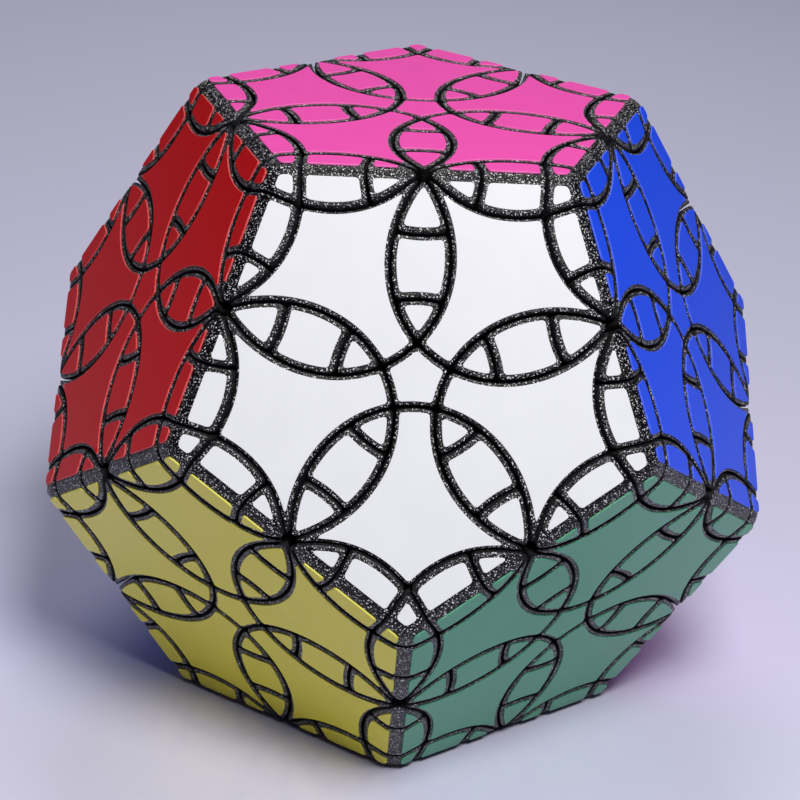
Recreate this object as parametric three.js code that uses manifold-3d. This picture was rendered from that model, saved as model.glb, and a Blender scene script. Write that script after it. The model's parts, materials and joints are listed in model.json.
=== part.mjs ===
// A dodecahedron twisty puzzle that turns about sixty axes, in millimetres, +Z up.
// It stands on its bottom face. Every kite of a face (one face, one vertex of it) carries a
// turning circle, cut by a cone whose tip is the puzzle's centre. Twelve of them, one on each
// face and none touching another, are free to turn here; the pieces between them are held still.
import * as THREE from "three";
import { mergeVertices } from "three/addons/utils/BufferGeometryUtils.js";
import Module from "manifold-3d";

// Driving dimensions.
const EDGE = 48; // the dodecahedron's edge, before its edges are bevelled
const BEVEL = 1.0; // the bevel takes this much off each face beside an edge
const AXIS_TILT = THREE.MathUtils.degToRad(22.68); // from a face's axis to its turning axes
const CONE_ANGLE = THREE.MathUtils.degToRad(18.02); // half the opening of a turning circle's cone
const CUT = 0.36; // gap between two pieces
const CIRCLE_SIDES = 20;
const NOTCH_SIDES = 12;
const PETAL_CUTS = [0.265, 0.478]; // cross cuts of a petal, from the face's centre, in edges
const EDGE_CUTS = [0.195, 0.415]; // cross cuts of an edge lens, from the edge's middle, in edges
const LENS_WIDTH = 0.27 * EDGE; // a cross cut is this long, a little more than a lens is wide
// Distances of the layers from the puzzle's centre.
const SHELL_INSIDE = 41;
const SKIRT_TOP = 47; // pieces that are joined stand on this layer, with cuts between them
const STAR_FLOOR = 47.4; // underside of the axis pieces and the corners
const CORE_RADIUS = 19;
const CONE_LOW = 20; // the cones are cut off at this distance
const STEM = { radius: 3.7, sides: 10, foot: 20 };
const WELL = { radius: 2.8, sides: 8, floor: 30, top: 50 }; // the stem's hollow, for the screw
const SCREW = { radius: 1.2, tip: 9, headRadius: 2.3, headHeight: 2.2, headTop: 44, sides: 8 };
const SPRING = { coilRadius: 1.95, wireRadius: 0.34, turns: 4, stepsPerTurn: 6, wireSides: 4 };
const SMALL_GAP = 0.3;
const OVERLAP = 1; // solids that are joined or cut reach this far into each other
const FAR = 75; // cutters reach past the outer surface

// Worked out from the edge.
const GOLDEN = (1 + Math.sqrt(5)) / 2;
const INRADIUS = (EDGE * GOLDEN ** 2) / (2 * Math.sqrt(3 - GOLDEN));
const CIRCUMRADIUS = (EDGE * GOLDEN * Math.sqrt(3)) / 2;
const MIDRADIUS = (EDGE * GOLDEN ** 2) / 2;
const APOTHEM = Math.sqrt(MIDRADIUS ** 2 - INRADIUS ** 2);

const wasm = await Module();
wasm.setup();

// A closed three.js geometry as a manifold-3d solid.
function solid(geometry) {
  const bare = geometry.clone();
  bare.deleteAttribute("normal");
  bare.deleteAttribute("uv");
  const merged = mergeVertices(bare, 1e-4);
  const index = merged.index.array;
  return new wasm.Manifold(
    new wasm.Mesh({
      numProp: 3,
      vertProperties: new Float32Array(merged.attributes.position.array),
      triVerts: new Uint32Array(index),
    }),
  );
}

// A manifold-3d solid as a three.js geometry.
function geometryOf(body) {
  const mesh = body.getMesh();
  const geometry = new THREE.BufferGeometry();
  geometry.setAttribute("position", new THREE.BufferAttribute(mesh.vertProperties, 3));
  geometry.setIndex(new THREE.BufferAttribute(mesh.triVerts, 1));
  const flat = geometry.toNonIndexed();
  flat.computeVertexNormals();
  return flat;
}

const join = (solids) => solids.reduce((all, one) => all.add(one));

// The largest body of a solid: cuts that meet at a point leave crumbs there.
function largest(body) {
  const bodies = body.decompose();
  return bodies.reduce((best, one) => (one.volume() > best.volume() ? one : best));
}

// --- The dodecahedron: directions of its faces and vertices -------------------------------

const direction = (fromUp, azimuth) =>
  new THREE.Vector3(
    Math.sin(fromUp) * Math.cos(azimuth),
    Math.sin(fromUp) * Math.sin(azimuth),
    Math.cos(fromUp),
  );
const FACE_SPREAD = Math.atan(2); // between the axes of two faces that share an edge
const azimuthOf = (first, step) => THREE.MathUtils.degToRad(first + 72 * step);

const upperNames = ["front", "upper_right", "upper_back_right", "upper_back_left", "upper_left"];
const lowerNames = ["lower_right", "lower_back_right", "back", "lower_back_left", "lower_left"];
const faces = [
  { name: "top", axis: direction(0, 0) },
  ...upperNames.map((name, k) => ({ name, axis: direction(FACE_SPREAD, azimuthOf(-90, k)) })),
  ...lowerNames.map((name, k) => ({
    name,
    axis: direction(Math.PI - FACE_SPREAD, azimuthOf(-54, k)),
  })),
  { name: "bottom", axis: direction(Math.PI, 0) },
];
const areNeighbours = (a, b) => Math.abs(a.axis.dot(b.axis) - Math.cos(FACE_SPREAD)) < 1e-3;

// Every three faces that are neighbours of each other meet at a vertex.
const vertices = [];
faces.forEach((a, i) =>
  faces.slice(i + 1).forEach((b, j) =>
    faces.slice(i + j + 2).forEach((c) => {
      if (!areNeighbours(a, b) || !areNeighbours(b, c) || !areNeighbours(a, c)) return;
      const axis = new THREE.Vector3().add(a.axis).add(b.axis).add(c.axis).normalize();
      vertices.push({ axis, faces: [a, b, c] });
    }),
  ),
);
const faceByName = Object.fromEntries(faces.map((face) => [face.name, face]));

// The eight fixed corners are those of one of the cubes that fit in a dodecahedron: they lie
// equally far from the plane that is square to one edge's direction.
const cubeAxis = new THREE.Vector3()
  .addVectors(faceByName.front.axis, faceByName.lower_right.axis)
  .normalize();
for (const vertex of vertices)
  vertex.isCubeCorner = Math.abs(Math.abs(vertex.axis.dot(cubeAxis)) - Math.sqrt(1 / 3)) < 0.02;

// --- The sixty turning circles --------------------------------------------------------------

const circles = [];
for (const face of faces) {
  for (const vertex of vertices.filter((one) => one.faces.includes(face))) {
    const toVertex = vertex.axis.clone().projectOnPlane(face.axis).normalize();
    const axis = face.axis.clone().multiplyScalar(Math.cos(AXIS_TILT));
    axis.addScaledVector(toVertex, Math.sin(AXIS_TILT));
    circles.push({ face, vertex, axis, toVertex });
  }
}
const sharesEdge = (a, b) => a.faces.filter((face) => b.faces.includes(face)).length === 2;
// Two circles overlap when they are neighbours on one face or share a vertex.
for (const circle of circles) {
  circle.onFace = circles.filter(
    (other) => other.face === circle.face && sharesEdge(other.vertex, circle.vertex),
  );
  circle.atVertex = circles.filter(
    (other) => other.vertex === circle.vertex && other !== circle,
  );
  circle.overlapping = [...circle.onFace, ...circle.atVertex];
  // One circle turns on each face: the one whose two neighbours are at fixed corners.
  circle.turns = circle.onFace.every((other) => other.vertex.isCubeCorner);
}
const turningCircles = circles.filter((circle) => circle.turns);

// A frame with its third axis along a direction and its first axis towards another one.
function frameAlong(axis, towards) {
  const first = towards.clone().projectOnPlane(axis).normalize();
  const second = new THREE.Vector3().crossVectors(axis, first);
  return new THREE.Matrix4().makeBasis(first, second, axis);
}
const circleFrame = (circle) => frameAlong(circle.axis, circle.vertex.axis);

// The cone of a circle as a solid, moved outwards by an offset, between two heights.
function coneGeometry(offset, low, high, outside = false) {
  const widen = outside ? 1 / Math.cos(Math.PI / CIRCLE_SIDES) : 1;
  const radiusAt = (height) =>
    (height * Math.tan(CONE_ANGLE) + offset / Math.cos(CONE_ANGLE)) * widen;
  const geometry = new THREE.CylinderGeometry(
    radiusAt(high), radiusAt(low), high - low, CIRCLE_SIDES,
  );
  geometry.rotateX(Math.PI / 2).translate(0, 0, (low + high) / 2);
  return geometry;
}
// A geometry as a solid, set in a frame: the turn is made in double precision, so that its
// flat faces stay flat.
const placedSolid = (geometry, frame) => solid(geometry).transform(frame.elements);

const HALF_CUT = CUT / 2;
// What lies inside a circle's cone, what lies inside it or in its cut, and the hole it turns in.
const insideOf = (circle, low = CONE_LOW, high = FAR) =>
  placedSolid(coneGeometry(-HALF_CUT, low, high), circleFrame(circle));
const aroundOf = (circle) => placedSolid(coneGeometry(HALF_CUT, CONE_LOW, FAR), circleFrame(circle));
const holeOf = (circle) =>
  placedSolid(coneGeometry(HALF_CUT, CONE_LOW, FAR, true), circleFrame(circle));

// --- The outer body: a dodecahedron with bevelled edges ---------------------------------------

// A block planed flat at one distance from the centre, at right angles to each direction.
function planed(block, directions, distance) {
  const waste = new THREE.BoxGeometry(4 * FAR, 4 * FAR, FAR).translate(0, 0, distance + FAR / 2);
  const cuts = directions.map((axis) => {
    const towards = Math.abs(axis.z) > 0.9 ? new THREE.Vector3(1, 0, 0) : new THREE.Vector3(0, 0, 1);
    return placedSolid(waste, frameAlong(axis, towards));
  });
  return block.subtract(join(cuts));
}
const block = (halfSize) => solid(new THREE.BoxGeometry(2 * halfSize, 2 * halfSize, 2 * halfSize));
const faceAxes = faces.map((face) => face.axis);
const edgeAxes = faces.flatMap((a, i) =>
  faces
    .slice(i + 1)
    .filter((b) => areNeighbours(a, b))
    .map((b) => a.axis.clone().add(b.axis).normalize()),
);
const dodecahedron = (inradius) => planed(block(FAR), faceAxes, inradius);
const EDGE_LOSS = (BEVEL * APOTHEM) / MIDRADIUS;

const body = planed(dodecahedron(INRADIUS), edgeAxes, MIDRADIUS - EDGE_LOSS);

// A thin slot across a lens, at right angles to it, as a slab through the puzzle's centre.
function crossCut(place, along) {
  const low = SKIRT_TOP - 2 * OVERLAP;
  const slab = new THREE.BoxGeometry(CUT, LENS_WIDTH, FAR - low).translate(0, 0, (FAR + low) / 2);
  return placedSolid(slab, frameAlong(place.clone().normalize(), along));
}

function petalCrossCuts(a, b) {
  const centre = a.face.axis.clone().multiplyScalar(INRADIUS);
  const toEdge = a.toVertex.clone().add(b.toVertex).normalize();
  return PETAL_CUTS.map((distance) =>
    crossCut(centre.clone().addScaledVector(toEdge, distance * EDGE), toEdge),
  );
}

function edgeLensCrossCuts(a, b) {
  const middle = a.face.axis.clone().add(b.face.axis).normalize().multiplyScalar(MIDRADIUS);
  const corner = a.vertex.axis.clone().multiplyScalar(CIRCUMRADIUS);
  const along = corner.clone().sub(middle).normalize();
  return EDGE_CUTS.map((distance) =>
    crossCut(middle.clone().addScaledVector(along, distance * EDGE), along),
  );
}

// --- The pieces ---------------------------------------------------------------------------------

// The cut that a circle leaves between joined pieces: a notch that closes at the layer they
// stand on.
function circleCut(circle) {
  const radiusAt = (height) => height * Math.tan(CONE_ANGLE);
  const width = CUT * ((FAR - SKIRT_TOP) / (MIDRADIUS - SKIRT_TOP));
  const profile = [
    new THREE.Vector2(radiusAt(SKIRT_TOP), SKIRT_TOP),
    new THREE.Vector2(radiusAt(FAR) + width, FAR),
    new THREE.Vector2(radiusAt(FAR) - width, FAR),
    new THREE.Vector2(radiusAt(SKIRT_TOP), SKIRT_TOP),
  ];
  const notch = new THREE.LatheGeometry(profile, NOTCH_SIDES).rotateX(Math.PI / 2);
  return placedSolid(notch, circleFrame(circle));
}

const cylinderAlong = (circle, radius, low, high, sides) => {
  const geometry = new THREE.CylinderGeometry(radius, radius, high - low, sides);
  geometry.rotateX(Math.PI / 2).translate(0, 0, (low + high) / 2);
  return placedSolid(geometry, circleFrame(circle));
};

const coreMaterial = new THREE.MeshStandardMaterial({ color: 0x1b1b1d, roughness: 0.6 });
const pieceMaterial = new THREE.MeshStandardMaterial({ color: 0x17171a, roughness: 0.85 });
const shellMaterial = new THREE.MeshStandardMaterial({ color: 0x1e1e21, roughness: 0.85 });
const steel = new THREE.MeshStandardMaterial({ color: 0xb9bcc0, roughness: 0.3, metalness: 1 });

const puzzle = new THREE.Group();
puzzle.position.z = INRADIUS;
function addPiece(name, geometry, material) {
  const mesh = new THREE.Mesh(geometry, material);
  mesh.name = name;
  puzzle.add(mesh);
  return mesh;
}

// The star-shaped piece in the middle of a circle, with the hollow stem that holds it on the core.
function axisPiece(circle) {
  const top = insideOf(circle, STAR_FLOOR)
    .intersect(body)
    .subtract(join(circle.overlapping.map(aroundOf)));
  const stem = cylinderAlong(circle, STEM.radius, STEM.foot, WELL.top + OVERLAP, STEM.sides);
  const well = cylinderAlong(circle, WELL.radius, WELL.floor, WELL.top, WELL.sides);
  const screwHole = cylinderAlong(
    circle, SCREW.radius + SMALL_GAP, STEM.foot - OVERLAP, WELL.floor + OVERLAP, SCREW.sides,
  );
  return largest(top).add(stem).subtract(well).subtract(screwHole);
}

// The petals, edge pieces and corner of a circle, joined by a skirt under its axis piece.
function turningRing(circle) {
  const disc = insideOf(circle, SHELL_INSIDE).intersect(body);
  const lenses = disc.intersect(join(circle.overlapping.map((other) => insideOf(other))));
  const skirt = insideOf(circle, SHELL_INSIDE, SKIRT_TOP);
  const cuts = join([
    ...circle.onFace.flatMap((other) => petalCrossCuts(circle, other)),
    ...circle.atVertex.flatMap((other) => edgeLensCrossCuts(circle, other)),
  ]).subtract(skirt);
  const stemHole = cylinderAlong(circle, STEM.radius + SMALL_GAP, CONE_LOW, FAR, STEM.sides);
  return largest(skirt.subtract(stemHole).add(lenses).subtract(cuts));
}

function screw(circle) {
  const { radius, tip, headRadius, headHeight, headTop, sides } = SCREW;
  const shaft = cylinderAlong(circle, radius, tip, headTop - headHeight / 2, sides);
  const head = cylinderAlong(circle, headRadius, headTop - headHeight, headTop, sides);
  return shaft.add(head);
}

class Helix extends THREE.Curve {
  constructor(radius, low, high, turns) {
    super();
    Object.assign(this, { radius, low, high, turns });
  }
  getPoint(t, target = new THREE.Vector3()) {
    const angle = t * this.turns * 2 * Math.PI;
    return target.set(
      this.radius * Math.cos(angle),
      this.radius * Math.sin(angle),
      this.low + (this.high - this.low) * t,
    );
  }
}

function spring(circle) {
  const { coilRadius, wireRadius, turns, stepsPerTurn, wireSides } = SPRING;
  const low = WELL.floor + wireRadius + SMALL_GAP;
  const high = SCREW.headTop - SCREW.headHeight - wireRadius - SMALL_GAP;
  const wire = new THREE.Shape();
  for (let k = 0; k < wireSides; k++) {
    const angle = (2 * Math.PI * (k + 0.5)) / wireSides;
    const point = [wireRadius * Math.cos(angle), wireRadius * Math.sin(angle)];
    if (k === 0) wire.moveTo(...point);
    else wire.lineTo(...point);
  }
  wire.closePath();
  const coil = new THREE.ExtrudeGeometry(wire, {
    steps: turns * stepsPerTurn,
    extrudePath: new Helix(coilRadius, low, high, turns),
  });
  return placedSolid(coil, circleFrame(circle));
}

// The core is a ball with one flat for every turning axis.
function core() {
  const axes = circles.map((circle) => circle.axis);
  const holes = turningCircles.map((circle) =>
    cylinderAlong(
      circle, SCREW.radius + SMALL_GAP, SCREW.tip - OVERLAP, CORE_RADIUS + OVERLAP, SCREW.sides,
    ),
  );
  return planed(block(2 * CORE_RADIUS), axes, CORE_RADIUS).subtract(join(holes));
}

function cornerPiece(vertex) {
  const [first, ...others] = circles.filter((circle) => circle.vertex === vertex);
  const shape = others.reduce((all, one) => all.intersect(insideOf(one)), insideOf(first));
  return largest(shape.intersect(body).subtract(dodecahedron(STAR_FLOOR)));
}

// Everything that doesn't turn here: its pieces are joined under the surface.
function fixedShell() {
  const stillCircles = circles.filter((circle) => !circle.turns);
  const holes = join(turningCircles.map(holeOf));
  const pockets = vertices
    .filter((vertex) => vertex.isCubeCorner)
    .map((vertex) => {
      const [first, ...others] = circles.filter((circle) => circle.vertex === vertex);
      return others
        .reduce((all, one) => all.intersect(aroundOf(one)), aroundOf(first))
        .subtract(dodecahedron(SKIRT_TOP));
    });
  const shell = body.subtract(dodecahedron(SHELL_INSIDE)).subtract(holes).subtract(join(pockets));
  return largest(shell.subtract(join(stillCircles.map(circleCut))));
}

// A piece that every turning circle has is made once, in the circle's own frame, and copied.
function addCopies(name, make, material) {
  const home = turningCircles[0];
  const geometry = geometryOf(make(home)).applyMatrix4(circleFrame(home).invert());
  for (const circle of turningCircles) {
    const copy = addPiece(`${name}_${circle.face.name}`, geometry, material);
    copy.quaternion.setFromRotationMatrix(circleFrame(circle));
  }
}

addPiece("core_ball", geometryOf(core()), coreMaterial);
addPiece("fixed_shell", geometryOf(fixedShell()), shellMaterial);
vertices
  .filter((vertex) => vertex.isCubeCorner)
  .forEach((vertex, k) =>
    addPiece(`corner_piece_${k + 1}`, geometryOf(cornerPiece(vertex)), pieceMaterial),
  );
addCopies("axis_piece", axisPiece, pieceMaterial);
addCopies("turning_ring", turningRing, pieceMaterial);
addCopies("screw", screw, steel);
addCopies("spring", spring, steel);

export default puzzle;
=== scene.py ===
import json
import math
from collections import defaultdict

import bpy
import numpy as np
from mathutils import Matrix, Vector


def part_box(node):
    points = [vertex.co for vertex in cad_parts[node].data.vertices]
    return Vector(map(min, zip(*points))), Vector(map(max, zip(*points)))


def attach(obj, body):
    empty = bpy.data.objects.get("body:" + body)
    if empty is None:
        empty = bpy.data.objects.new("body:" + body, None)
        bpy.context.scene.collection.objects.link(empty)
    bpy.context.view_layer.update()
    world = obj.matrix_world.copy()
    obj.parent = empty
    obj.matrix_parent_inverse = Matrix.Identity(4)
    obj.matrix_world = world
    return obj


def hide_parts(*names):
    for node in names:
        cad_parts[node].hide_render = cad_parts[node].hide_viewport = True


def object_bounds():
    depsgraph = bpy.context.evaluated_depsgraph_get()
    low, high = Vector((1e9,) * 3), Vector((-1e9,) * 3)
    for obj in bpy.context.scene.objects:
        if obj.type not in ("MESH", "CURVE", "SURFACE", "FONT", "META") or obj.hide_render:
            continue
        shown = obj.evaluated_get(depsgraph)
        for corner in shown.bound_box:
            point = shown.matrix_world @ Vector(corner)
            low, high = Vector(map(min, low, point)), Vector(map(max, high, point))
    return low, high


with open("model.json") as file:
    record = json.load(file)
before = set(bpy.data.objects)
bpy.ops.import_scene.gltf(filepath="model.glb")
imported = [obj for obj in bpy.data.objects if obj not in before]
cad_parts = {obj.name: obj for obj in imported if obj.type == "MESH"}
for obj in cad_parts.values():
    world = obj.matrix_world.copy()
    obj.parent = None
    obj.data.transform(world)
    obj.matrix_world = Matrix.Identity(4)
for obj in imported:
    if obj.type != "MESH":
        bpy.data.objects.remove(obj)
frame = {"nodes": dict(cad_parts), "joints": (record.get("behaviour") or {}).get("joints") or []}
cad_low, cad_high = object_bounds()

# The shapes are worked out in millimetres about the puzzle's centre, and set in metres.
MM = 0.001
CENTRE = Vector((0, 0, (cad_low.z + cad_high.z) / 2))

# --- Sizes -------------------------------------------------------------------------------------

GOLDEN = (1 + math.sqrt(5)) / 2
INRADIUS = (cad_high.z - cad_low.z) / 2 / MM
EDGE = INRADIUS * 2 * math.sqrt(3 - GOLDEN) / GOLDEN**2
MIDRADIUS = EDGE * GOLDEN**2 / 2
CIRCUMRADIUS = EDGE * GOLDEN * math.sqrt(3) / 2
APOTHEM = math.sqrt(MIDRADIUS**2 - INRADIUS**2)
FACE_TO_EDGE = math.atan2(APOTHEM, INRADIUS)

AXIS_TILT = math.radians(22.68)  # from a face's axis to its turning axes
CONE_ANGLE = math.radians(18.02)  # half the opening of a turning circle's cone
PETAL_TIP = 0.11  # inner tip of a petal, from the face's centre, in edges
PETAL_CUTS = (0.265, 0.478)  # cross cuts of a petal, from the face's centre, in edges
EDGE_CUT = 0.195  # cross cut of an edge lens, from the edge's middle, in edges

HALF_GAP = 0.22
CORNER_ROUND = 0.8  # corners of a piece, seen from outside
LIP_ROUND = 0.34  # a piece's rim
LIP_MARGIN = 0.08  # from the rim's round to the first ring inside it
EDGE_ROUND = 2.0  # the dodecahedron's edges
PIECE_FLOOR = 41.0  # the pieces go in to this distance from the centre
STEM_RADIUS = 3.7
STEM_WALL = 0.9
STEM_TOP = PIECE_FLOOR + 0.5  # the stem runs a little way into its piece
STEM_FOOT = 20.0
STEM_CHAMFER = 0.4
WELL_FLOOR = STEM_FOOT + 10  # where the screw's head sits
SCREW_HOLE_RADIUS = 1.5
STICKER_THICKNESS = 0.25
STICKER_SINK = 0.03  # a sticker's underside lies this far below the piece's surface
STICKER_BEVEL = 0.05
STICKER_FLAT_SHARE = 0.9  # of a sticker's width: its flat top inside the last ring
STICKER_INSET = 1.05  # from the middle of a cut
STAR_STICKER_INSET = 0.85
STICKER_EDGE_INSET = 1.55  # from an edge of the dodecahedron
STICKER_ROUND = 0.55

# How the outlines are found and how finely they are drawn.
STEP = 0.45  # spacing of points along an outline
LEAST_POINTS = 24  # on the smallest outline
LIP_STEPS = 4
FLAT_RINGS = 1  # steps from the middle of a piece to its rim, where it lies in one face
BENT_RINGS = 12  # and where it wraps over the dodecahedron's edges
STEM_SIDES = 32
PIECE_REACH = math.radians(20)  # no outline lies further from the middle of its piece
CENTRE_PIECE_REACH = math.radians(12)
PIECE_SAMPLES = 110  # along each ray that looks for a piece's outline
STICKER_REACH = 0.5 * EDGE
STICKER_SAMPLES = 140
SEARCH_REACH = 8.0  # how far from its piece's middle a sticker's deepest point may lie
SEARCH_SAMPLES = 45
COARSE_TURNS = np.linspace(0, 2 * math.pi, 144, endpoint=False)  # for an outline's first drawing
ROUNDING_STEPS = 6  # of the search for the rounded surface

# --- The dodecahedron's faces and vertices -----------------------------------------------------


def unit(vector):
    return vector / np.linalg.norm(vector)


TURNS_START = np.array([0.31, 0.53, 0.79])  # turns are counted from here; no axis points this way


def direction(from_up, azimuth):
    return np.array(
        [
            math.sin(from_up) * math.cos(azimuth),
            math.sin(from_up) * math.sin(azimuth),
            math.cos(from_up),
        ]
    )


FACE_SPREAD = math.atan(2)
UPPER = ["front", "upper_right", "upper_back_right", "upper_back_left", "upper_left"]
LOWER = ["lower_right", "lower_back_right", "back", "lower_back_left", "lower_left"]
FACES = {"top": direction(0, 0)}
for step, name in enumerate(UPPER):
    FACES[name] = direction(FACE_SPREAD, math.radians(-90 + 72 * step))
for step, name in enumerate(LOWER):
    FACES[name] = direction(math.pi - FACE_SPREAD, math.radians(-54 + 72 * step))
FACES["bottom"] = direction(math.pi, 0)

COLOURS = {
    "top": "pink",
    "front": "white",
    "upper_right": "blue",
    "upper_back_right": "cream",
    "upper_back_left": "light_green",
    "upper_left": "red",
    "lower_right": "green",
    "lower_back_right": "purple",
    "back": "grey",
    "lower_back_left": "navy",
    "lower_left": "yellow",
    "bottom": "orange",
}


def neighbours(a, b):
    return abs(FACES[a] @ FACES[b] - math.cos(FACE_SPREAD)) < 1e-3


names = list(FACES)
VERTICES = {}
for i, a in enumerate(names):
    for j, b in enumerate(names[i + 1 :], i + 1):
        for c in names[j + 1 :]:
            if neighbours(a, b) and neighbours(b, c) and neighbours(a, c):
                VERTICES[frozenset((a, b, c))] = unit(FACES[a] + FACES[b] + FACES[c])
EDGES = {
    frozenset((a, b)): unit(FACES[a] + FACES[b])
    for i, a in enumerate(names)
    for b in names[i + 1 :]
    if neighbours(a, b)
}


def circle_axis(face, vertex):
    """The turning axis of one kite of a face."""
    outwards = VERTICES[vertex] - FACES[face] * (VERTICES[vertex] @ FACES[face])
    return math.cos(AXIS_TILT) * FACES[face] + math.sin(AXIS_TILT) * unit(outwards)


CIRCLES = {(face, v): circle_axis(face, v) for v in VERTICES for face in sorted(v)}


def turning_circle(face):
    """The circle that turns on a face: its axis is the hinge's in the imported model."""
    joint = next(j for j in frame["joints"] if j["name"] == f"turn_{face}")
    axis = np.array(joint["axis"])
    return max((key for key in CIRCLES if key[0] == face), key=lambda key: CIRCLES[key] @ axis)


TURNING = {turning_circle(face) for face in FACES}


def body_of(*circles):
    """The CAD body of a piece that lies in these circles."""
    for face, vertex in circles:
        if (face, vertex) in TURNING:
            return f"circle_{face}"
    return "frame"


# --- Outlines: cells of the surface between cones ----------------------------------------------


def frame_about(axis, towards):
    first = unit(towards - axis * (towards @ axis))
    return first, np.cross(axis, first)


def sharp_radius(directions):
    """Distance from the centre to the dodecahedron without its rounding."""
    return INRADIUS / (directions @ np.array(list(FACES.values())).T).max(-1)


def outer_radius(directions):
    """Distance from the centre to the rounded dodecahedron along each direction."""
    facing = np.sort(directions @ np.array(list(FACES.values())).T, axis=-1)[..., -3:]
    radius = INRADIUS / facing[..., -1]
    for _ in range(ROUNDING_STEPS):
        over = np.maximum(radius[..., None] * facing - INRADIUS + EDGE_ROUND, 0)
        length = np.sqrt((over**2).sum(-1))
        slope = (over * facing).sum(-1) / length
        radius = radius - (length - EDGE_ROUND) / slope
    return radius


def rounded_inside(terms, radius):
    """Distance to the common inside of several half-spaces, with rounded corners."""
    over = np.maximum(terms + radius, 0)
    worst = terms.max(0)
    return np.where(worst > -radius, np.sqrt((over**2).sum(0)) - radius, worst)


class Cell:
    """A piece's region of the surface: inside some cones and outside others."""

    def __init__(self, centre, cones, reach=PIECE_REACH):
        self.centre = unit(centre)
        self.cones = cones
        self.reach = reach

    def terms(self, points):
        """Distance of surface points from each cone's cut, negative inside the piece."""
        radius = np.linalg.norm(points, axis=-1)
        terms = []
        for axis, angle, side in self.cones:
            turned = np.arccos(np.clip(points @ axis / radius, -1, 1))
            terms.append(side * (turned - angle) * radius)
        return np.stack(terms)


def along(step_angle, start, towards):
    """The direction at an angle from one direction towards another."""
    return math.cos(step_angle) * start + math.sin(step_angle) * unit(
        towards - start * (towards @ start)
    )


def inside(axis):
    return (axis, CONE_ANGLE, 1)


def outside(axis):
    return (axis, CONE_ANGLE, -1)


def cross_cut(start, towards, distance_angle, beyond):
    """A cone that cuts across a lens at an angle from its start and bows to the lens's middle.

    beyond is 1 where the cone holds the far end of the lens, and -1 where it holds the near end.
    """
    return along(distance_angle + beyond * CONE_ANGLE, start, towards)


def star_cell(face, vertex):
    axis = CIRCLES[face, vertex]
    cones = [inside(axis)]
    for other in VERTICES:
        if face in other and len(other & vertex) == 2 and other != vertex:
            cones.append(outside(CIRCLES[face, other]))
    for other_face in sorted(vertex - {face}):
        cones.append(outside(CIRCLES[other_face, vertex]))
    return Cell(axis, cones)


def centre_cell(face):
    cones = [outside(CIRCLES[face, v]) for v in VERTICES if face in v]
    return Cell(FACES[face], cones, CENTRE_PIECE_REACH)


def petal_cells(face, edge):
    """The inner triangle, middle and outer triangle of a petal."""
    ends = [v for v in VERTICES if edge <= v]
    lens = [inside(CIRCLES[face, v]) for v in ends]
    start, towards = FACES[face], EDGES[edge]
    near, far = (math.atan(cut * EDGE / INRADIUS) for cut in PETAL_CUTS)
    near_cone = cross_cut(start, towards, near, -1)
    far_cone = cross_cut(start, towards, far, 1)
    tip = math.atan(PETAL_TIP * EDGE / INRADIUS)
    return {
        "inner": Cell(along((tip + 2 * near) / 3, start, towards), lens + [inside(near_cone)]),
        "middle": Cell(
            along((near + far) / 2, start, towards),
            lens + [outside(near_cone), outside(far_cone)],
        ),
        "outer": Cell(
            along((FACE_TO_EDGE + 2 * far) / 3, start, towards), lens + [inside(far_cone)]
        ),
    }


EDGE_CUT_ANGLE = math.atan(EDGE_CUT * EDGE / MIDRADIUS)
QUAD_END_ANGLE = math.atan(EDGE / 2 / MIDRADIUS) * 0.82  # where the corner piece cuts the lens off
TRIANGLE_SHARE = 0.7  # of the way to the cross cut: the middle of the triangle


def edge_cells(edge, vertex):
    """The quad and the triangle of the lens along half an edge, beside one vertex."""
    lens = [inside(CIRCLES[face, vertex]) for face in sorted(edge)]
    (third,) = vertex - edge
    start, towards = EDGES[edge], VERTICES[vertex]
    cut_cone = cross_cut(start, towards, EDGE_CUT_ANGLE, -1)
    corner_cone = CIRCLES[third, vertex]
    return {
        "quad": Cell(
            along((EDGE_CUT_ANGLE + QUAD_END_ANGLE) / 2, start, towards),
            lens + [outside(cut_cone), outside(corner_cone)],
        ),
        "triangle": Cell(
            along(EDGE_CUT_ANGLE * TRIANGLE_SHARE, start, towards), lens + [inside(cut_cone)]
        ),
    }


def corner_cell(vertex):
    return Cell(VERTICES[vertex], [inside(CIRCLES[face, vertex]) for face in sorted(vertex)])


# --- Meshes ------------------------------------------------------------------------------------


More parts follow.
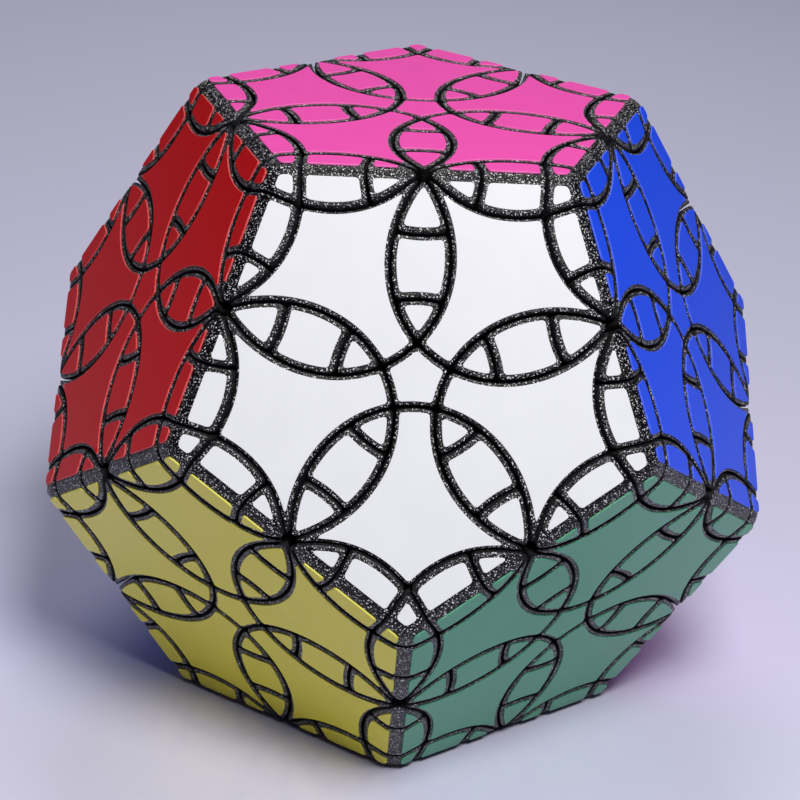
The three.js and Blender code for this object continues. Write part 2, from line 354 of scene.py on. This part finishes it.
class Shape:
    """Vertices and faces gathered from many closed shells."""

    def __init__(self):
        self.points, self.faces, self.materials, self.count = [], [], [], 0

    def add_shell(self, first, rings, last, side_strips):
        """A closed shell: a tip, rings of equal length, and another tip.

        The strips numbered in side_strips take the second material.
        """
        size = len(rings[0])
        self.points += [first[None], *rings, last[None]]
        here = np.arange(size)
        beside = (here + 1) % size
        start = self.count + 1
        tip = np.full(size, self.count)
        self._add(np.stack([tip, start + here, start + beside], 1), 0)
        for k in range(len(rings) - 1):
            self._add_strip(start + k * size, start + (k + 1) * size, size, int(k in side_strips))
        end = start + (len(rings) - 1) * size
        tip = np.full(size, start + len(rings) * size)
        self._add(np.stack([end + here, tip, end + beside], 1), 0)
        self.count += 2 + size * len(rings)

    def add_tube(self, rings):
        """A closed shell whose rings join back to the first, like a tube's wall."""
        size = len(rings[0])
        self.points += rings
        for k in range(len(rings)):
            low = self.count + k * size
            high = self.count + ((k + 1) % len(rings)) * size
            self._add_strip(low, high, size, 0)
        self.count += size * len(rings)

    def _add_strip(self, low, high, size, material):
        """The quads between two rings, each given by its first vertex."""
        here = np.arange(size)
        beside = (here + 1) % size
        quads = np.stack([low + here, high + here, high + beside, low + beside], 1)
        self._add(quads, material)

    def _add(self, faces, material):
        self.faces += faces.tolist()
        self.materials += [material] * len(faces)

    def build(self, name, materials, sharp_angle):
        """An object of all the shells. Edges that bend more than sharp_angle stay sharp."""
        points = np.concatenate(self.points) * MM + np.array(CENTRE)
        mesh = bpy.data.meshes.new(name)
        mesh.from_pydata(points.tolist(), [], self.faces)
        for material in materials:
            mesh.materials.append(material)
        mesh.polygons.foreach_set("material_index", self.materials)
        mesh.shade_smooth()
        mesh.set_sharp_from_angle(angle=math.radians(sharp_angle))
        mesh.update()
        obj = bpy.data.objects.new(name, mesh)
        bpy.context.scene.collection.objects.link(obj)
        return obj


def first_crossing(values, places):
    """Along each row, the place where the values first rise through zero."""
    rising = values > 0
    rising[:, -1] = True
    index = np.maximum(rising.argmax(1), 1)
    row = np.arange(len(values))
    before, after = values[row, index - 1], values[row, index]
    share = np.clip(-before / np.where(after > before, after - before, 1), 0, 1)
    return places[index - 1] + share * (places[index] - places[index - 1])


def evenly_spaced(turns, points):
    """Turns of an outline that step evenly along it."""
    gaps = np.linalg.norm(np.roll(points, -1, 0) - points, axis=1)
    travelled = np.concatenate([[0], np.cumsum(gaps)])
    count = max(LEAST_POINTS, int(travelled[-1] / STEP))
    wanted = np.arange(count) * travelled[-1] / count
    return np.interp(wanted, travelled, np.append(turns, turns[0] + 2 * math.pi))


def piece_outline(cell, offsets, turns):
    """A cell's outline moved in by each offset, as angles from its centre at each turn.

    Also gives the function that turns such angles into directions.
    """
    first, second = frame_about(cell.centre, TURNS_START)
    across = np.cos(turns)[:, None] * first + np.sin(turns)[:, None] * second
    polar = np.linspace(0, cell.reach, PIECE_SAMPLES)
    directions = (
        np.cos(polar)[None, :, None] * cell.centre
        + np.sin(polar)[None, :, None] * across[:, None, :]
    )
    terms = cell.terms(directions * sharp_radius(directions)[..., None]) + HALF_GAP
    distance = rounded_inside(terms, CORNER_ROUND)
    angles = [first_crossing(distance + offset, polar) for offset in offsets]

    def direction_at(angle):
        return np.cos(angle)[:, None] * cell.centre + np.sin(angle)[:, None] * across

    return angles, direction_at


def add_piece(shape, cell, inner_rings):
    """One piece: its outside with a rounded rim, and walls that run towards the centre."""
    lift = np.linspace(0, math.pi / 2, LIP_STEPS + 1)
    lip_offsets = LIP_ROUND * (1 - np.sin(lift))
    lip_drops = LIP_ROUND * (1 - np.cos(lift))
    offsets = [LIP_ROUND + LIP_MARGIN, *lip_offsets]
    drops = [0, *lip_drops]
    (outline,), direction_at = piece_outline(cell, [0], COARSE_TURNS)
    turns = evenly_spaced(COARSE_TURNS, direction_at(outline) * INRADIUS)
    angles, direction_at = piece_outline(cell, offsets, turns)
    rings = []
    for share in np.linspace(0, 1, inner_rings + 1)[1:-1]:
        towards = direction_at(angles[0] * share)
        rings.append(towards * (outer_radius(towards) - STICKER_THICKNESS)[:, None])
    for angle, drop in zip(angles, drops):
        towards = direction_at(angle)
        rings.append(towards * (outer_radius(towards) - STICKER_THICKNESS - drop)[:, None])
    rings.append(direction_at(angles[-1]) * PIECE_FLOOR)
    tip_radius = outer_radius(cell.centre[None])[0] - STICKER_THICKNESS
    # The lower part of the rim and the wall take the second nylon, a near-black copy that is
    # painted shade.
    side_strips = range(len(rings) - LIP_STEPS, len(rings) - 1)
    shape.add_shell(cell.centre * tip_radius, rings, cell.centre * PIECE_FLOOR, side_strips)


def add_stem(shape, axis):
    """The hollow stem under an axis piece, as one closed shell."""
    first, second = frame_about(axis, TURNS_START)
    turns = np.linspace(0, 2 * math.pi, STEM_SIDES, endpoint=False)
    across = np.cos(turns)[:, None] * first + np.sin(turns)[:, None] * second
    inner = STEM_RADIUS - STEM_WALL
    profile = [
        (inner, STEM_TOP),
        (STEM_RADIUS, STEM_TOP),
        (STEM_RADIUS, STEM_FOOT + STEM_CHAMFER),
        (STEM_RADIUS - STEM_CHAMFER, STEM_FOOT),
        (SCREW_HOLE_RADIUS, STEM_FOOT),
        (SCREW_HOLE_RADIUS, WELL_FLOOR),
        (inner, WELL_FLOOR),
    ]
    shape.add_tube([across * radius + axis * height for radius, height in profile])


def add_sticker(shape, cell, face, inset=STICKER_INSET):
    """A thin sticker on one face's part of a piece, drawn about the point deepest inside it."""
    normal = FACES[face]
    first, second = frame_about(normal, TURNS_START)
    edge_lines = [
        unit(axis - normal * (axis @ normal)) for edge, axis in EDGES.items() if face in edge
    ]

    @np.errstate(divide="ignore", invalid="ignore")
    def distance(points):
        """Distance of points of the face's plane from the sticker's outline.

        A point on a cone's axis has none (nan), and counts as the deepest.
        """
        radius = np.linalg.norm(points, axis=-1)
        terms = []
        for axis, angle, side in cell.cones:
            cosine = np.clip(points @ axis / radius, -1, 1)
            turned = np.arccos(cosine)
            across = radius * np.sin(turned)
            outward = (points * (cosine / radius)[..., None] - axis) / across[..., None]
            flat = outward - (outward @ normal)[..., None] * normal
            slope = np.linalg.norm(flat, axis=-1)
            terms.append(side * (turned - angle) / slope + inset)
        for line in edge_lines:
            terms.append(points @ line - APOTHEM + STICKER_EDGE_INSET)
        return rounded_inside(np.stack(terms), STICKER_ROUND)

    middle = cell.centre * (INRADIUS / (cell.centre @ normal))
    grid = np.linspace(-SEARCH_REACH, SEARCH_REACH, SEARCH_SAMPLES)
    spots = middle + (grid[:, None, None] * first + grid[None, :, None] * second)
    centre = spots.reshape(-1, 3)[distance(spots).argmin()]
    reach = np.linspace(0, STICKER_REACH, STICKER_SAMPLES)

    def outline(turns, insets):
        across = np.cos(turns)[:, None] * first + np.sin(turns)[:, None] * second
        values = distance(centre + reach[None, :, None] * across[:, None, :])
        return [first_crossing(values + inset, reach)[:, None] * across for inset in insets]

    (coarse,) = outline(COARSE_TURNS, [0])
    top, rim = outline(evenly_spaced(COARSE_TURNS, coarse), [STICKER_BEVEL, 0])
    sunk = normal * (STICKER_THICKNESS + STICKER_SINK)
    rings = [
        centre + top * STICKER_FLAT_SHARE,
        centre + top,
        centre + rim - normal * STICKER_BEVEL,
        centre + rim - sunk,
    ]
    shape.add_shell(centre, rings, centre - sunk, side_strips=(1, 2))


# --- Materials ---------------------------------------------------------------------------------


class Nodes:
    """A material and short calls to add nodes to it.

    A noise's scale is in waves per metre, and a bump's distance in metres.
    """

    def __init__(self, name):
        self.material = bpy.data.materials.new(name)
        self.material.use_nodes = True
        self.tree = self.material.node_tree
        self.shader = self.tree.nodes["Principled BSDF"]
        self.place = self.tree.nodes.new("ShaderNodeTexCoord").outputs["Object"]

    def noise(self, scale, detail=2.0, roughness=0.5):
        """Soft noise from 0 to 1, most of it near 0.5."""
        node = self.tree.nodes.new("ShaderNodeTexNoise")
        node.inputs["Scale"].default_value = scale
        node.inputs["Detail"].default_value = detail
        node.inputs["Roughness"].default_value = roughness
        self.tree.links.new(self.place, node.inputs["Vector"])
        return node.outputs["Fac"]

    def height(self):
        """Height above the floor, for an object that isn't moved."""
        node = self.tree.nodes.new("ShaderNodeSeparateXYZ")
        self.tree.links.new(self.place, node.inputs["Vector"])
        return node.outputs["Z"]

    def ramp(self, source, low, high, first, last):
        """One colour where the source is below low, another above high, a blend between."""
        node = self.tree.nodes.new("ShaderNodeValToRGB")
        node.color_ramp.elements[0].position = low
        node.color_ramp.elements[1].position = high
        node.color_ramp.elements[0].color = (*first, 1)
        node.color_ramp.elements[1].color = (*last, 1)
        self.tree.links.new(source, node.inputs["Fac"])
        return node.outputs["Color"]

    def to_range(self, source, low, high):
        """A source from 0 to 1 as values from low to high."""
        node = self.tree.nodes.new("ShaderNodeMapRange")
        node.inputs["To Min"].default_value = low
        node.inputs["To Max"].default_value = high
        self.tree.links.new(source, node.inputs["Value"])
        return node.outputs["Result"]

    def bump(self, source, strength, distance):
        node = self.tree.nodes.new("ShaderNodeBump")
        node.inputs["Strength"].default_value = strength
        node.inputs["Distance"].default_value = distance
        self.tree.links.new(source, node.inputs["Height"])
        self.tree.links.new(node.outputs["Normal"], self.shader.inputs["Normal"])

    def set(self, socket, value):
        """Give a socket of the shader a plain value, or the output of another node."""
        if hasattr(value, "node"):
            self.tree.links.new(value, self.shader.inputs[socket])
        else:
            self.shader.inputs[socket].default_value = value


def nylon_with_painted_glints():
    """Printed nylon, dyed black, with a coarse grain whose pale specks are painted glints: light
    caught by the grain, painted into its colour.
    """
    nodes = Nodes("printed_nylon")
    grain = nodes.noise(3800, detail=1.2, roughness=0.6)
    # The pale colour is painted glints on the grain's specks; the dark one is the dyed nylon.
    dark, pale = (0.001, 0.001, 0.002), (0.9, 0.88, 0.9)
    nodes.set("Base Color", nodes.ramp(grain, 0.6, 0.68, dark, pale))
    nodes.set("Roughness", nodes.to_range(nodes.noise(900), 0.28, 0.4))
    nodes.set("Specular IOR Level", 0.3)
    nodes.bump(grain, 1.0, 0.00012)
    return nodes.material


def nylon_painted_shade():
    """Painted shade: a near-black copy of the nylon for the sides of the pieces. It is darker than
    the lit nylon because no light catches the grain there.
    """
    nodes = Nodes("printed_nylon_painted_shade")
    grain = nodes.noise(2800, detail=2.0)
    # Both colours are painted shade, far darker than the lit nylon's, not a deeper dye.
    dark, pale = (0.002, 0.002, 0.003), (0.03, 0.03, 0.035)
    nodes.set("Base Color", nodes.ramp(grain, 0.4, 0.75, dark, pale))
    nodes.set("Roughness", 0.8)
    nodes.set("Specular IOR Level", 0.2)
    nodes.bump(grain, 0.6, 0.0001)
    return nodes.material


def shade(colour, factor, lift=0.0):
    return tuple(c * factor + lift for c in colour)


def sticker_film(name, colour, gloss):
    """Printed vinyl: even colour with faint mottling, and a surface that waves slightly."""
    nodes = Nodes(f"sticker_{name}")
    darker = shade(colour, 0.97)
    nodes.set("Base Color", nodes.ramp(nodes.noise(160, detail=4.0), 0.3, 0.7, darker, colour))
    nodes.set("Roughness", nodes.to_range(nodes.noise(700, detail=3.0), 0.16, 0.22))
    nodes.set("Specular IOR Level", gloss)
    nodes.bump(nodes.noise(260, detail=1.0), 0.04, 0.00003)
    return nodes.material


def sticker_cut(name, colour):
    """The cut edge of the vinyl, a little paler than its face."""
    nodes = Nodes(f"sticker_{name}_cut_edge")
    mid, pale = shade(colour, 0.9, 0.04), shade(colour, 0.85, 0.12)
    nodes.set("Base Color", nodes.ramp(nodes.noise(1800, detail=2.0), 0.35, 0.65, mid, pale))
    nodes.set("Roughness", nodes.to_range(nodes.noise(2500), 0.4, 0.6))
    return nodes.material


def turned_steel(name, base, rough):
    """Plated steel with fine turning marks."""
    nodes = Nodes(name)
    grain = nodes.noise(900, detail=3.0)
    nodes.set("Base Color", nodes.ramp(grain, 0.35, 0.65, shade(base, 0.8), base))
    nodes.set("Metallic", 1.0)
    nodes.set("Roughness", nodes.to_range(nodes.noise(2600, detail=4.0), rough, rough + 0.15))
    nodes.bump(nodes.noise(3200), 0.2, 0.00003)
    return nodes.material


STICKER_COLOURS = {
    "white": (0.86, 0.865, 0.88),
    "pink": (1.0, 0.1, 0.5),
    "red": (0.7, 0.002, 0.002),
    "blue": (0.001, 0.08, 1.0),
    "yellow": (0.78, 0.7, 0.004),
    "green": (0.006, 0.29, 0.13),
    "navy": (0.01, 0.14, 0.8),
    "purple": (0.8, 0.03, 0.65),
    "orange": (0.92, 0.2, 0.01),
    "light_green": (0.28, 0.75, 0.08),
    "cream": (0.86, 0.76, 0.5),
    "grey": (0.3, 0.31, 0.33),
}

GLOSS = 0.75
LOW_GLOSS = {"red": 0.25, "blue": 0.4}  # the darkest films would look grey with more

# The nylon with painted glints, and a near-black copy of it that is painted shade for the pieces'
# sides.
NYLON = [nylon_with_painted_glints(), nylon_painted_shade()]
FILMS = {
    name: (sticker_film(name, colour, LOW_GLOSS.get(name, GLOSS)), sticker_cut(name, colour))
    for name, colour in STICKER_COLOURS.items()
}


# --- The puzzle --------------------------------------------------------------------------------


PIECE_SHARP_ANGLE = 50  # in degrees, as the next one
STICKER_SHARP_ANGLE = 30

CAD_CORNERS = [name for name in frame["nodes"] if name.startswith("corner_piece_")]


def nearest_cad_corner(vertex):
    """The CAD corner piece at a vertex."""

    def nearness(name):
        low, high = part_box(name)
        return unit(np.array((low + high) / 2 - CENTRE)) @ VERTICES[vertex]

    return max(CAD_CORNERS, key=nearness)


pieces = defaultdict(Shape)  # by body, the object's name and the CAD node it replaces
stickers = defaultdict(Shape)  # by body and face
CAD_TWINS = {"axis_piece": "axis_piece", "ring_pieces": "turning_ring"}


def piece_shape(body, turning_kind, fixed_name, corner=None):
    """The shape that gathers a piece, by its kind on a turning body or its name on the frame.

    corner is the vertex of a corner piece, which has a CAD node of its own on the frame.
    """
    if body == "frame":
        replaced = nearest_cad_corner(corner) if corner else "fixed_shell"
        return pieces[body, fixed_name, replaced]
    place = body.removeprefix("circle_")
    return pieces[body, f"{turning_kind}_{place}_looks", f"{CAD_TWINS[turning_kind]}_{place}"]


for face in FACES:
    cell = centre_cell(face)
    add_piece(pieces["frame", "fixed_centre_pieces", "fixed_shell"], cell, FLAT_RINGS)
    add_sticker(stickers["frame", face], cell, face, STAR_STICKER_INSET)

for (face, vertex), axis in CIRCLES.items():
    cell = star_cell(face, vertex)
    body = body_of((face, vertex))
    shape = piece_shape(body, "axis_piece", "fixed_axis_pieces")
    add_piece(shape, cell, FLAT_RINGS)
    add_stem(shape, axis)
    add_sticker(stickers[body, face], cell, face, STAR_STICKER_INSET)

for edge in EDGES:
    ends = [v for v in VERTICES if edge <= v]
    for face in sorted(edge):
        body = body_of(*((face, v) for v in ends))
        for cell in petal_cells(face, edge).values():
            add_piece(piece_shape(body, "ring_pieces", "fixed_petal_pieces"), cell, FLAT_RINGS)
            add_sticker(stickers[body, face], cell, face)
    for vertex in ends:
        body = body_of(*((face, vertex) for face in sorted(edge)))
        for cell in edge_cells(edge, vertex).values():
            add_piece(piece_shape(body, "ring_pieces", "fixed_edge_pieces"), cell, BENT_RINGS)
            for face in sorted(edge):
                add_sticker(stickers[body, face], cell, face)

for number, vertex in enumerate(VERTICES, 1):
    cell = corner_cell(vertex)
    body = body_of(*((face, vertex) for face in sorted(vertex)))
    shape = piece_shape(body, "ring_pieces", f"corner_piece_{number}_looks", vertex)
    add_piece(shape, cell, BENT_RINGS)
    for face in sorted(vertex):
        add_sticker(stickers[body, face], cell, face)

for (body, name, replaced), shape in pieces.items():
    obj = shape.build(name, NYLON, PIECE_SHARP_ANGLE)
    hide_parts(replaced)
    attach(obj, body)

for (body, face), shape in stickers.items():
    colour = COLOURS[face]
    obj = shape.build(f"stickers_{colour}_on_{body}", FILMS[colour], STICKER_SHARP_ANGLE)
    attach(obj, body)

INSIDE_MATERIALS = {
    # The core takes the near-black nylon that is painted shade.
    "core": nylon_painted_shade(),
    "screw": turned_steel("screw_steel", (0.6, 0.6, 0.6), 0.22),
    "spring": turned_steel("spring_steel", (0.5, 0.5, 0.52), 0.3),
}
for name, node in frame["nodes"].items():
    for kind, material in INSIDE_MATERIALS.items():
        if name.startswith(kind):
            node.data.materials.clear()
            node.data.materials.append(material)

# --- Floor, light and camera -------------------------------------------------------------------


FLOOR_MIDDLE = 0.3
FLOOR_RADIUS = 1.0  # to where the floor starts to bend up
FLOOR_BEND = 0.4
WALL_TOP = 1.1
FLOOR_TURNS = 96
BEND_STEPS = 12
WALL_SHADE_FROM = 0.1  # the height above which the wall is painted grey as shade, which keeps the dark films deep


def studio_floor():
    """A pale, slightly glossy round sheet that curves up into a wall all the way round. Above a
    low band the wall is painted grey, as the shade of a dim room.
    """
    profile = [(FLOOR_MIDDLE, 0.0)]
    for step in range(BEND_STEPS + 1):
        angle = math.pi / 2 * step / BEND_STEPS
        radius = FLOOR_RADIUS + FLOOR_BEND * math.sin(angle)
        profile.append((radius, FLOOR_BEND * (1 - math.cos(angle))))
    profile.append((FLOOR_RADIUS + FLOOR_BEND, WALL_TOP))
    points = [(0, 0, 0)]
    for radius, z in profile:
        for turn in range(FLOOR_TURNS):
            angle = 2 * math.pi * turn / FLOOR_TURNS
            points.append((radius * math.cos(angle), radius * math.sin(angle), z))
    faces = []
    for turn in range(FLOOR_TURNS):
        after = (turn + 1) % FLOOR_TURNS
        faces.append((0, 1 + turn, 1 + after))
        for k in range(len(profile) - 1):
            low, high = 1 + k * FLOOR_TURNS, 1 + (k + 1) * FLOOR_TURNS
            faces.append((low + turn, high + turn, high + after, low + after))
    mesh = bpy.data.meshes.new("floor")
    mesh.from_pydata(points, [], faces)
    mesh.shade_smooth()
    nodes = Nodes("pale_paper_with_painted_shade")
    # The grey is painted shade on the wall, standing in for dim surroundings that the films
    # reflect.
    pale, grey = (0.8, 0.78, 0.99), (0.2, 0.2, 0.24)
    nodes.set("Base Color", nodes.ramp(nodes.height(), 0.0, WALL_SHADE_FROM, pale, grey))
    nodes.set("Roughness", 0.16)
    nodes.set("Specular IOR Level", 0.8)
    mesh.materials.append(nodes.material)
    floor = bpy.data.objects.new("floor", mesh)
    bpy.context.scene.collection.objects.link(floor)


def area_light(name, place, aim, size, power):
    """A soft square light, itself out of the camera's sight."""
    light = bpy.data.lights.new(name, "AREA")
    light.size = size
    light.energy = power
    obj = bpy.data.objects.new(name, light)
    obj.location = place
    obj.visible_camera = False
    obj.rotation_euler = (Vector(aim) - Vector(place)).to_track_quat("-Z", "Y").to_euler()
    bpy.context.scene.collection.objects.link(obj)


def studio_world(colour, strength):
    """Faint light from all round, and colours shown as they are."""
    world = bpy.data.worlds.new("studio")
    world.use_nodes = True
    background = world.node_tree.nodes["Background"]
    background.inputs["Color"].default_value = (*colour, 1)
    background.inputs["Strength"].default_value = strength
    bpy.context.scene.world = world
    bpy.context.scene.view_settings.view_transform = "Standard"


# The camera as fitted to the photo; lengths are in circumradii of the puzzle.
CAMERA_AZIMUTH = math.radians(-1.82)
CAMERA_ELEVATION = math.radians(24.0)
CAMERA_DISTANCE = 6.515
CAMERA_ROLL = math.radians(2.99)
CAMERA_AIM = Vector((-0.0144, -0.0066, -0.0156))
CAMERA_LENS = 110.06  # in millimetres, for a sensor 36 mm wide
CAMERA_SENSOR = 36


def add_camera():
    camera = bpy.data.cameras.new("camera")
    camera.lens = CAMERA_LENS
    camera.sensor_width = CAMERA_SENSOR
    obj = bpy.data.objects.new("camera", camera)
    back = Vector(
        (
            math.sin(CAMERA_AZIMUTH) * math.cos(CAMERA_ELEVATION),
            -math.cos(CAMERA_AZIMUTH) * math.cos(CAMERA_ELEVATION),
            math.sin(CAMERA_ELEVATION),
        )
    )
    place = CENTRE + back * (CAMERA_DISTANCE * CIRCUMRADIUS * MM)
    forward = (CAMERA_AIM * CIRCUMRADIUS * MM + CENTRE - place).normalized()
    level_right = forward.cross(Vector((0, 0, 1))).normalized()
    level_up = level_right.cross(forward)
    right = math.cos(CAMERA_ROLL) * level_right + math.sin(CAMERA_ROLL) * level_up
    axes = Matrix((right, right.cross(forward), -forward)).transposed().to_4x4()
    obj.matrix_world = Matrix.Translation(place) @ axes
    bpy.context.scene.collection.objects.link(obj)
    bpy.context.scene.camera = obj


# The softbox lights the puzzle from the front, and the top light the floor far behind it.
studio_floor()
area_light("softbox", place=(0.09, -0.33, 0.513), aim=CENTRE, size=0.18, power=2.9)
area_light("top_light", place=(0, 0.42, 0.65), aim=(0, 0.42, 0), size=0.3, power=1.7)
studio_world(colour=(0.8, 0.8, 1), strength=0.1)
add_camera()
